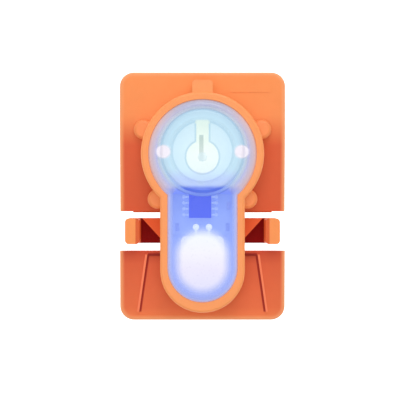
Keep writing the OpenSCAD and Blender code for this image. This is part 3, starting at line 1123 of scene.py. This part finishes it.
@dataclass
class PushButton:
    """The push button, its seal, and the wave spring under it."""

    centre: Vector = field(default_factory=lambda: metres(0, 9.65, 0))
    stem: Vector = field(default_factory=lambda: metres(0, 8.45, 0))
    radius: float = 8.75
    height: float = 2.4
    edge: float = 0.5
    flange_r: float = 9.65
    flange_t: float = 0.4
    flange_edge: float = 0.08
    root: float = 0.1
    dish: float = 0.12
    dish_shares: Outline = ((7.15, 0.25), (5.25, 0.7), (2.5, 1.0), (0.0, 1.0))
    stem_r: float = 1.0
    stem_edge: float = 0.2
    travel: float = 0.5
    spring_r: float = 9.25
    spring_half_w: float = 0.33
    spring_t: float = 0.15
    spring_waves: int = 3
    spring_rings: int = 3
    spring_steps: int = 120
    spring_play: float = 0.004
    frost: FrostedCap = FrostedCap(
        "frosted button", tab_veil=0.6, veil=0.27, rough=(0.28, 0.42), cloud_scale=0.4)
    # darker and bluer towards the bottom: painted shade and the lamp's painted blue light, and a
    # painted lamp glow
    silicone: LitPlastic = LitPlastic(
        "button silicone",
        (
            (0.0, (104, 134, 244)), (2.4, (150, 178, 250)), (4.0, (192, 220, 242)),
            (20.0, (192, 222, 242)),
        ),
        rough=(0.54, 0.68),
    )
    # glows with painted lamp light
    strip: Metal = Metal(
        "spring strip", (196, 216, 230), brush=(3, 3, 12), glow=0.45, metallic=0.6)

    def cap(self) -> Piece:
        """The button: a softly dished disc on a flange, with the stem that presses the leaf.

        Returns:
            The piece.
        """
        low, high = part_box("button_cap")
        bottom, top = low.z / MM, high.z / MM
        base = top - self.height
        brim, chamfer, flange_r = base + self.flange_t, self.flange_edge, self.flange_r
        mesh = bmesh.new()
        lathe(
            mesh,
            [
                (0, base), (flange_r - chamfer, base), (flange_r, base + chamfer),
                (flange_r, brim - chamfer), (flange_r - chamfer, brim),
                (self.radius + self.root, brim), (self.radius, brim + self.root),
                *arc((self.radius - self.edge, top - self.edge), self.edge, 0, 90, 6),
                *((r, top - self.dish * share) for r, share in self.dish_shares),
            ],
            self.centre,
        )
        end, overlap = self.stem_edge, base + self.stem_edge
        tip = [
            (0, bottom), (self.stem_r - end, bottom), (self.stem_r, bottom + end),
            (self.stem_r, overlap), (0, overlap),
        ]
        lathe(mesh, tip, self.stem, steps=32)
        return solid(mesh, "button_disc")

    def spring(self) -> Piece:
        """The wave spring: wavy rings that touch crest to crest.

        Returns:
            The piece.
        """
        low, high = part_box("return_spring")
        pitch = ((high.z - low.z) / MM - self.spring_t) / self.spring_rings
        mesh = bmesh.new()
        for ring in range(self.spring_rings):
            level = low.z / MM + self.spring_t / 2 + pitch * (ring + 0.5)
            section = [
                mesh.verts.new(self.centre + metres(
                    self.spring_r + across * self.spring_half_w, 0,
                    level + up * self.spring_t / 2))
                for across, up in ((-1, -1), (1, -1), (1, 1), (-1, 1))
            ]
            edges = [mesh.edges.new(pair) for pair in zip(section, section[1:] + section[:1])]
            before = set(mesh.verts) - set(section)
            bmesh.ops.spin(
                mesh, geom=section + edges, cent=self.centre, axis=(0, 0, 1), dvec=(0, 0, 0),
                angle=math.tau, steps=self.spring_steps, use_merge=True, use_duplicate=False,
            )
            sign = 1 if ring % 2 else -1
            swing = sign * (pitch / 2 - self.spring_play) * MM
            for vert in set(mesh.verts) - before:
                out = vert.co - self.centre
                vert.co.z += math.cos(self.spring_waves * math.atan2(out.y, out.x)) * swing
        return solid(mesh, "wave_spring")

    def build(self) -> None:
        """Builds and dresses the button."""
        settle(self.cap(), self.frost, "button_frost", Body.BUTTON, "button_cap")
        rounded_copy("button_seal", "button_ring", self.silicone, "seal_rubber", Body.BUTTON)
        spring = settle(self.spring(), self.strip, "spring_steel", Body.HUB, "return_spring")
        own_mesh(spring)


# ---- cell and switch ----


@dataclass
class CellBay:
    """The coin cell in its tray, with the switch leaf and the parts that carry its current."""

    centre: Vector = field(default_factory=lambda: metres(0, 9.65, 0))
    cell_r: float = 8.0
    cap_inset: float = 1.2
    cap_round: float = 0.3
    can_round: float = 0.3
    can_step: float = 0.4
    rim_round: float = 0.4
    crimp: Outline = ((0.0, 0.0), (0.25, 0.0), (0.3, 0.12), (0.55, 0.12), (0.6, 0.0))
    groove: Outline = ((1.0, 0.0), (1.1, 0.05), (1.3, 0.05), (1.4, 0.0))
    dimple: Vector = field(default_factory=lambda: metres(1.6, 7.25, 0))
    dimple_shape: Outline = (
        (0.0, -0.1), (1.1, -0.1), (1.1, -0.01), (0.77, 0.048), (0.0, 0.072))
    fine_round: float = 0.05
    pad_z: float = 11.7
    pad_round: float = 0.1
    tab_end_round: float = 0.8
    tab_round: float = 0.08
    tab_half_w: float = 1.3
    tab_upright: float = 0.25
    tray_z: float = 12.1
    tray_round: float = 0.06
    # darker along the bottom edge, a painted shadow in the gap under the cell; its glow is
    # painted lamp light
    can: LitPlastic = LitPlastic(
        "cell can",
        (
            (1.6, (92, 124, 240)), (2.2, (120, 150, 248)), (2.8, (194, 212, 252)),
            (5.2, (200, 220, 253)), (6.4, (188, 222, 240)), (18.0, (184, 222, 244)),
        ),
        glow=0.5, rough=(0.19, 0.33), cloud=0.08,
        # painted shadow of the leaf's tongue, seen through its slot
        slot_shadow=(
            (5.0, (200, 220, 240)), (7.5, (216, 228, 222)), (9.6, (206, 216, 200)),
            (12.4, (176, 190, 164)), (13.6, (196, 214, 206)), (14.2, (188, 222, 240)),
        ),
    )
    # the leaf, foot, pad, tabs and wire below glow with painted lamp light
    brass: LitPlastic = LitPlastic(
        "plated leaf",
        (
            (-5.0, (232, 240, 232)), (9.0, (250, 253, 240)), (12.0, (244, 250, 226)),
            (20.0, (236, 244, 214)),
        ),
        glow=0.7, rough=(0.24, 0.38),
    )
    foot: LitPlastic = LitPlastic(
        "plated foot",
        (
            (15.6, (244, 250, 226)), (16.0, (226, 244, 232)), (16.5, (194, 226, 244)),
            (20.0, (188, 222, 242)),
        ),
    )
    film: LitPlastic = LitPlastic(
        "pad film", ((-5.0, (206, 232, 250)), (20.0, (222, 244, 252))), glow=0.62, cloud=0.03)
    tab: LitPlastic = LitPlastic(
        "tab plastic", ((-5.0, (250, 246, 252)), (20.0, (250, 244, 252))), glow=0.75)
    # lit blue by painted lamp light, with a painted shadow in the dark band from 0.4 to 1.6 mm
    tray: LitPlastic = LitPlastic(
        "tray plastic",
        (
            (-22.5, (188, 201, 255)), (-19.0, (174, 193, 255)), (-8.0, (158, 182, 255)),
            (-0.4, (150, 176, 255)), (0.4, (88, 120, 240)), (1.6, (84, 116, 238)),
            (2.8, (176, 206, 250)), (4.5, (190, 222, 246)), (20.0, (186, 220, 242)),
        ),
    )
    jacket: LitPlastic = LitPlastic(
        "wire jacket", ((-5.0, (196, 70, 74)), (20.0, (206, 74, 78))), glow=0.15)

    def end_edge(self, edge: Edge) -> bool:
        """Whether an edge stands at a corner of a cell tab's flat end."""
        aside = abs(middle(edge).y - self.centre.y / MM) > self.tab_half_w
        return corner(edge, SHARP) and rise(edge) > self.tab_upright * MM and aside

    def cell(self) -> Piece:
        """The coin cell: a can with a rolled edge, a gasket groove and a smaller cap.

        Returns:
            The piece.
        """
        low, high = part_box("coin_cell")
        base, top = low.z / MM, high.z / MM
        step = base + self.can_step
        cap_r = self.cell_r - self.cap_inset
        cap, can, rim = self.cap_round, self.can_round, self.rim_round
        mesh = bmesh.new()
        outline = [
            (0, base), *arc((cap_r - cap, base + cap), cap, -90, 0, 3),
            *((cap_r + out, step + up) for out, up in self.crimp),
            *arc((self.cell_r - can, step + can), can, -90, 0, 3),
            *arc((self.cell_r - rim, top - rim), rim, 0, 90, 4),
            *((self.cell_r - inside, top - deep) for inside, deep in self.groove), (0, top),
        ]
        lathe(mesh, outline, self.centre)
        return solid(mesh, "button_cell")

    def leaf(self) -> Piece:
        """The switch leaf, with rounded edges and a raised dimple beside the button's stem.

        Returns:
            The piece.
        """
        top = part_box("contact_leaf")[1].z / MM
        mesh = cad_mesh("contact_leaf")
        soften(
            mesh, lambda edge: corner(edge, SHARP) and rise(edge) < LEVEL, self.fine_round, 2)
        lathe(mesh, [(r, top + up) for r, up in self.dimple_shape], self.dimple, steps=32)
        return solid(mesh, "switch_leaf", recalculate=False)

    def build(self) -> None:
        """Builds and dresses the cell bay."""
        fine = (crisp(), self.fine_round, 2)
        settle(self.cell(), self.can, "cell_steel", Body.HUB, "coin_cell")
        settle(self.leaf(), self.brass, "contact_brass", Body.LEAF, "contact_leaf")
        rounded_copy(
            "leaf_terminal", "leaf_foot", self.foot, "contact_brass", Body.HUB, fine)
        rounded_copy(
            "ground_strip", "ground_strip_bent", self.brass, "contact_brass", Body.HUB, fine)
        rounded_copy(
            "contact_pad", "insulating_pad", self.film, "pad_white", Body.HUB,
            (crisp(low=self.pad_z), self.pad_round, 2),
        )
        rounded_copy(
            "cell_clips", "cell_tabs", self.tab, "tab_white", Body.HUB,
            (self.end_edge, self.tab_end_round, 5),
            (lambda edge: corner(edge, SHARP) and not self.end_edge(edge), self.tab_round, 2),
        )
        rounded_copy(
            "lamp_tray", "moulded_tray", self.tray, "tray_white", Body.HUB,
            (crisp(low=self.tray_z), self.tray_round, 2),
        )
        rounded_copy("supply_wire", "supply_lead", self.jacket, "wire_jacket", Body.HUB)


# ---- board ----


@dataclass
class DriverBoard:
    """The circuit board with its chip and small parts."""

    pitch: float = 1.27
    count: int = 4
    lead_half_w: float = 0.2
    lead_t: float = 0.18
    shoulder: Outline = ((-0.05, 0.0), (0.3, 0.0), (0.48, -0.12))
    foot: Outline = ((0.62, 0.1), (0.78, 0.0), (1.4, 0.0))
    fillet: Outline = ((0.0, 0.0), (0.38, 0.0), (0.3, 0.1), (0.14, 0.26), (0.0, 0.3))
    fillet_out: float = 1.1
    board_round: float = 0.06
    chip_round: float = 0.12
    part_round: float = 0.05
    # each finish here glows with painted lamp light; the chip, leads and small parts are blue
    # from the lamp's painted light
    mask: LitPlastic = LitPlastic(
        "solder mask", ((-9.0, (158, 183, 255)), (-4.0, (150, 177, 255)), (0.6, (130, 160, 253))),
        glow=0.58, cloud=0.12, cloud_scale=2.2,
    )
    package: LitPlastic = LitPlastic(
        "chip plastic", ((-5.0, (26, 68, 255)), (1.0, (20, 62, 255))), glow=0.6, body=0.3)
    tin: LitPlastic = LitPlastic(
        "tinned leads", ((-9.0, (178, 202, 254)), (2.0, (168, 194, 254))), glow=0.6,
        rough=(0.24, 0.38),
    )
    dark: LitPlastic = LitPlastic(
        "resistor ceramic", ((-9.0, (136, 160, 248)), (2.0, (136, 160, 248))), glow=0.5)
    tan: LitPlastic = LitPlastic(
        "capacitor ceramic", ((-9.0, (140, 162, 250)), (2.0, (140, 162, 250))), glow=0.5)

    def leads(self) -> Piece:
        """The chip's gull-wing leads, each with its solder fillet.

        Returns:
            The piece.
        """
        low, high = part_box("chip_leads")
        base, top = low.z / MM, high.z / MM
        chip_low, chip_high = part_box("driver_chip")
        chip = (chip_low + chip_high) / 2 / MM
        half = (chip_high.x - chip_low.x) / 2 / MM
        path = [(half + out, top + up) for out, up in self.shoulder]
        path += [(half + out, base + self.lead_t + up) for out, up in self.foot]
        drop = [(r, base + up) for r, up in self.fillet]
        mesh = bmesh.new()
        for number in range(self.count):
            y = chip.y + (number - (self.count - 1) / 2) * self.pitch
            for side in (-1, 1):
                upper = [
                    mesh.verts.new(metres(chip.x + side * x, y - self.lead_half_w, z))
                    for x, z in path
                ]
                edges = [mesh.edges.new(pair) for pair in zip(upper, upper[1:])]
                down = bmesh.ops.extrude_edge_only(mesh, edges=edges)["geom"]
                bmesh.ops.translate(mesh, verts=only(down, Vert), vec=metres(0, 0, -self.lead_t))
                wide = bmesh.ops.extrude_face_region(mesh, geom=only(down, Face))["geom"]
                bmesh.ops.translate(
                    mesh, verts=only(wide, Vert), vec=metres(0, 2 * self.lead_half_w, 0))
                centre = metres(chip.x + side * (half + self.fillet_out), y, 0)
                lathe(mesh, drop, centre, steps=20)
        return solid(mesh, "gull_wing_leads")

    def build(self) -> None:
        """Builds and dresses the board."""
        rounded_copy(
            "circuit_board", "driver_board", self.mask, "board_blue", Body.HUB,
            (crisp(), self.board_round, 2),
        )
        rounded_copy(
            "driver_chip", "chip_package", self.package, "chip_blue", Body.HUB,
            (crisp(), self.chip_round, 2),
        )
        settle(self.leads(), self.tin, "solder", Body.HUB, "chip_leads")
        fine = (crisp(), self.part_round, 2)
        rounded_copy("resistors", "resistor_pair", self.dark, "part_dark", Body.HUB, fine)
        rounded_copy("capacitor", "chip_capacitor", self.tan, "part_tan", Body.HUB, fine)


# ---- lamp ----


@dataclass
class Lamp:
    """The lamp, its legs and the frosted cap that it pushes into."""

    cap_round: float = 1.3
    base_round: float = 0.3
    leg_round: float = 0.05
    cover: LitPlastic = LitPlastic(
        "glowing cap",
        (
            (-19.4, (222, 224, 253)), (-16.0, (232, 229, 252)), (-12.0, (243, 242, 252)),
            (-8.9, (243, 248, 255)), (-8.0, (210, 221, 255)), (-7.0, (184, 202, 254)),
        ),
        glow=0.72, body=0.4, cloud=0.03, cloud_scale=0.5,
    )
    bulb: LitPlastic = LitPlastic(
        "lit lamp", ((-18.0, (244, 240, 254)), (-9.2, (248, 250, 255)), (-8.0, (206, 218, 255))),
        glow=0.85,
    )
    # glows with painted lamp light
    legs: LitPlastic = LitPlastic(
        "lamp legs", ((-9.0, (214, 230, 255)), (-6.0, (236, 246, 255))), glow=0.8)

    def cap(self) -> Piece:
        """The frosted cap: the CAD shape with generously rounded edges.

        Returns:
            The piece.
        """
        low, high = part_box("led_diffuser")
        mesh = cad_mesh("led_diffuser")
        for height, width, segments in ((high.z, self.cap_round, 6), (low.z, self.base_round, 2)):
            level = height / MM
            soften(mesh, crisp(level - TOUCH, level + TOUCH), width, segments)
        return solid(mesh, "lamp_cap", recalculate=False)

    def build(self) -> None:
        """Builds and dresses the lamp."""
        settle(self.cap(), self.cover, "diffuser", Body.HUB, "led_diffuser")
        rounded_copy("led_body", "lamp_bulb", self.bulb, "led_glow", Body.HUB)
        rounded_copy(
            "led_leads", "lamp_legs", self.legs, "solder", Body.HUB,
            (crisp(), self.leg_round, 2),
        )


# ---- battery door ----


@dataclass
class BatteryDoor:
    """The bayonet door under the cell, with its seal and sprung contact."""

    back_z: float = 6.6
    back_round: float = 0.08
    contact_round: float = 0.03
    shell: MouldedNylon = MouldedNylon(
        "door nylon", Along.Z, ((5.0, (236, 118, 70)), (9.0, (236, 118, 70))))
    silicone: Rubber = Rubber("door silicone", (70, 70, 74))
    plate: Metal = Metal("door contact plate", (232, 214, 160), (0.20, 0.40))

    def build(self) -> None:
        """Builds and dresses the door."""
        rounded_copy(
            "battery_door", "bayonet_door", self.shell, "shell_orange", Body.DOOR,
            (crisp(high=self.back_z), self.back_round, 2),
        )
        rounded_copy("door_seal", "door_gasket", self.silicone, "seal_rubber", Body.DOOR)
        rounded_copy(
            "door_contact", "cell_contact", self.plate, "contact_brass", Body.DOOR,
            (crisp(), self.contact_round, 2),
        )


# ---- webbing clip ----


@dataclass
class WebbingClip:
    """The clip arm, its hinge pin, and the two torsion springs on the pin."""

    hinge: Vector = field(default_factory=lambda: metres(0, 23.9, 2.3))
    knuckle_r: float = 2.3
    arm_round: float = 0.22
    arm_sharp: float = 50.0
    back_z: float = 0.05
    ledge_z: float = 2.0
    ledge_slack: float = 0.05
    block_z: float = 6.0
    pin_round: float = 0.15
    coil_r: float = 1.45
    wire_r: float = 0.2
    wire_sides: int = 10
    coil_from: float = 5.2
    coil_to: float = 9.9
    coil_room: float = 0.24
    turns: int = 7
    steps: int = 30
    bend_r: float = 0.3
    bend_steps: int = 6
    arm_tang: float = 0.8
    hub_tang: float = 1.3
    # painted light by height: lighter on the raised faces, with a brighter tone at 6.2 mm that
    # offsets the shadow there
    shell: ArmNylon = ArmNylon(
        "arm nylon", Along.Z,
        (
            (0.0, (240, 126, 76)), (3.0, (236, 114, 68)), (6.2, (250, 108, 62)),
            (8.0, (240, 120, 74)), (11.5, (255, 158, 98)),
        ),
        sheen=0.08,
    )
    pin: Metal = Metal("turned pin", (200, 200, 206), (0.14, 0.34), (1, 14, 14))
    wire: Metal = Metal("spring wire", (206, 206, 210), (0.14, 0.34), (10, 2, 2))

    def pull(
        self, mesh: Mesh, face: Face, centre: Vector, axis: tuple[int, int, int], angle: float,
        steps: int, climb: float = 0.0,
    ) -> Face:
        """Pulls the wire's end face round an axis.

        Args:
            mesh: the mesh.
            face: the end face.
            centre: a point on the axis, in metres.
            axis: the axis's direction.
            angle: how far, in radians.
            steps: in how many steps.
            climb: how far each step moves along X, in millimetres.

        Returns:
            The new end face.
        """
        turned = bmesh.ops.spin(
            mesh, geom=[face], cent=centre, axis=axis, dvec=metres(climb, 0, 0), angle=angle,
            steps=steps, use_duplicate=False,
        )
        return only(turned["geom_last"], Face)[0]

    def springs(self) -> Piece:
        """The torsion springs, each with a tang at both ends.

        Returns:
            The piece.
        """
        mesh = bmesh.new()
        start = self.hinge + metres(self.coil_from - self.arm_tang, 0, -self.coil_r)
        bmesh.ops.create_circle(
            mesh, cap_ends=True, segments=self.wire_sides, radius=self.wire_r * MM,
            matrix=Matrix.Translation(start) @ Matrix.Rotation(math.pi / 2, 4, "Y"),
        )
        tang = bmesh.ops.extrude_face_region(mesh, geom=list(mesh.faces))["geom"]
        straight = metres(self.arm_tang - self.wire_r, 0, 0)
        bmesh.ops.translate(mesh, verts=only(tang, Vert), vec=straight)
        # the wire bends from along the pin to round it, coils, and bends back along it
        pivot = start + straight + metres(0, self.bend_r, 0)
        quarter, bends = math.pi / 2, self.bend_steps
        face = self.pull(mesh, only(tang, Face)[0], pivot, (0, 0, 1), quarter, bends)
        total = self.turns * self.steps
        climb = (self.coil_to - self.coil_from - self.coil_room) / total
        face = self.pull(
            mesh, face, self.hinge, (1, 0, 0), math.tau * self.turns, total, climb)
        pivot = face.calc_center_median() + metres(self.bend_r, 0, 0)
        face = self.pull(mesh, face, pivot, (0, 0, -1), quarter, bends)
        tip = only(bmesh.ops.extrude_face_region(mesh, geom=[face])["geom"], Vert)
        bmesh.ops.delete(mesh, geom=[face], context="FACES_ONLY")
        at = sum((vert.co for vert in tip), Vector()) / len(tip)
        reach = self.hinge.x / MM + self.coil_to + self.hub_tang - at.x / MM
        bmesh.ops.translate(mesh, verts=tip, vec=metres(reach, 0, 0))
        inner = [f for f in mesh.faces if all(len(e.link_faces) > 2 for e in f.edges)]
        bmesh.ops.delete(mesh, geom=inner, context="FACES_ONLY")
        every = mesh.verts[:] + mesh.edges[:] + mesh.faces[:]
        twin = bmesh.ops.duplicate(mesh, geom=every)["geom"]
        bmesh.ops.scale(mesh, verts=only(twin, Vert), vec=(-1, 1, 1))
        return solid(mesh, "torsion_springs", sharp=50)

    def soft_edge(self, edge: Edge) -> bool:
        """Whether an edge of the arm is moulded round.

        Args:
            edge: the edge.

        Returns:
            Whether it is.
        """
        at = middle(edge)
        aside = math.hypot(at.y - self.hinge.y / MM, at.z - self.hinge.z / MM)
        on_axis = aside < self.knuckle_r
        ledge = abs(at.z - self.ledge_z) < self.ledge_slack
        outside = at.z > self.block_z or at.z < self.back_z or ledge
        return corner(edge, self.arm_sharp) and not on_axis and outside

    def build(self) -> None:
        """Builds and dresses the clip."""
        rounded_copy(
            "clip_arm", "webbing_arm", self.shell, "shell_orange", Body.ARM,
            (self.soft_edge, self.arm_round, 3),
        )
        rounded_copy(
            "hinge_pin", "hinge_axle", self.pin, "screw_steel", Body.HUB,
            (crisp(), self.pin_round, 3),
        )
        settle(self.springs(), self.wire, "spring_steel", Body.HUB, "hinge_springs")


# ---- studio ----


@dataclass
class Studio:
    """The pale floor, the soft lights and the camera."""

    floor_half: float = 4000.0
    floor_drop: float = 45.0
    floor_glow: float = 0.75
    camera_up: float = 350.0
    aim: Span = (-0.53, -0.75)
    lens: float = 147.0
    near_clip: float = 0.01
    ambient: float = 0.48

    def floor(self) -> None:
        """A plain pale sheet under the light."""
        mesh = bmesh.new()
        bmesh.ops.create_grid(
            mesh, x_segments=2, y_segments=2, size=self.floor_half * MM,
            matrix=Matrix.Translation(metres(0, 0, -self.floor_drop)),
        )
        data = bpy.data.meshes.new("floor")
        mesh.to_mesh(data)
        mesh.free()
        sheet = bpy.data.objects.new("floor", data)
        bpy.context.scene.collection.objects.link(sheet)
        paper = Graph("pale paper")
        paper.fill(
            paper.shader, base_color=(0.9, 0.9, 0.9, 1), roughness=0.9,
            emission_color=(1, 1, 1, 1), emission_strength=self.floor_glow,
        )
        data.materials.append(paper.material)

    def light(self, name: str, place: Vector, size: float, power: float) -> None:
        """A soft square light aimed at the object.

        Args:
            name: its name.
            place: where it stands, in metres.
            size: its side in metres.
            power: its power in watts.
        """
        data = bpy.data.lights.new(name, "AREA")
        data.shape = "SQUARE"
        data.size = size
        data.energy = power
        lamp = bpy.data.objects.new(name, data)
        lamp.location = place
        lamp.rotation_euler = (-place).to_track_quat("-Z", "Y").to_euler()
        bpy.context.scene.collection.objects.link(lamp)

    def build(self) -> None:
        """Sets the scene."""
        self.floor()
        self.light("key", place=Vector((0.05, 0.42, 0.38)), size=0.35, power=1.75)
        self.light("top", place=Vector((-0.05, 0.0, 0.6)), size=0.5, power=1.5)
        world = bpy.data.worlds.new("studio")
        world.use_nodes = True
        sky = world.node_tree.nodes["Background"]
        sky.inputs["Color"].default_value = (1, 1, 1, 1)
        sky.inputs["Strength"].default_value = self.ambient
        scene = bpy.context.scene
        scene.world = world
        scene.view_settings.view_transform = "Standard"
        data = bpy.data.cameras.new("camera")
        data.lens = self.lens
        data.clip_start = self.near_clip
        camera = bpy.data.objects.new("camera", data)
        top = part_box("hub_plate")[1].z
        camera.location = metres(*self.aim, self.camera_up) + Vector((0, 0, top))
        scene.collection.objects.link(camera)
        scene.camera = camera


def main() -> None:
    """Builds every sub-assembly in order."""
    logging.basicConfig(level=logging.INFO, format="%(name)s: %(message)s")
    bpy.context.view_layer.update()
    for assembly in (
        Studio(), Casing(), Lens(), PushButton(), CellBay(), DriverBoard(), Lamp(),
        BatteryDoor(), WebbingClip(),
    ):
        assembly.build()


if __name__ == "__main__":
    main()
